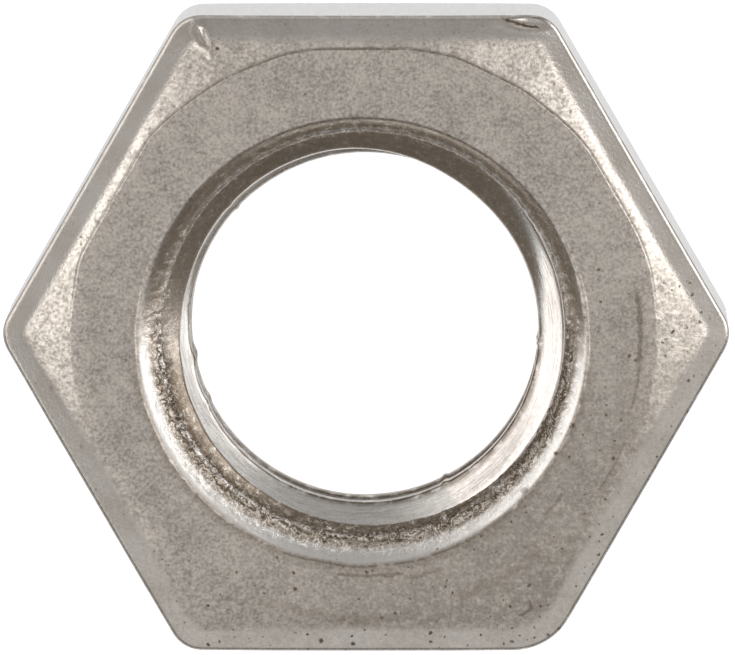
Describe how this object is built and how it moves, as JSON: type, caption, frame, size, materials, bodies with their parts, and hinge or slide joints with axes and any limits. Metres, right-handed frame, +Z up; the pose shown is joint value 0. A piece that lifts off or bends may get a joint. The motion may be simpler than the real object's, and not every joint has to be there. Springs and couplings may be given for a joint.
{
  "type": "hex nut",
  "caption": "Thin metric hex nut in bright stainless steel, chamfered on both faces, with a right-hand thread right through and a countersink at each end.",
  "frame": {"origin": "centre of the lower bearing face, on the thread axis", "axes": "+Z up along the thread axis, +X through a corner, +Y through the middle of a flat"},
  "size_m": [0.0216, 0.019, 0.006],
  "materials": {
    "nut_steel": "satin"
  },
  "bodies": {
    "root": {"hex_nut": "nut_steel"}
  },
  "joints": []
}
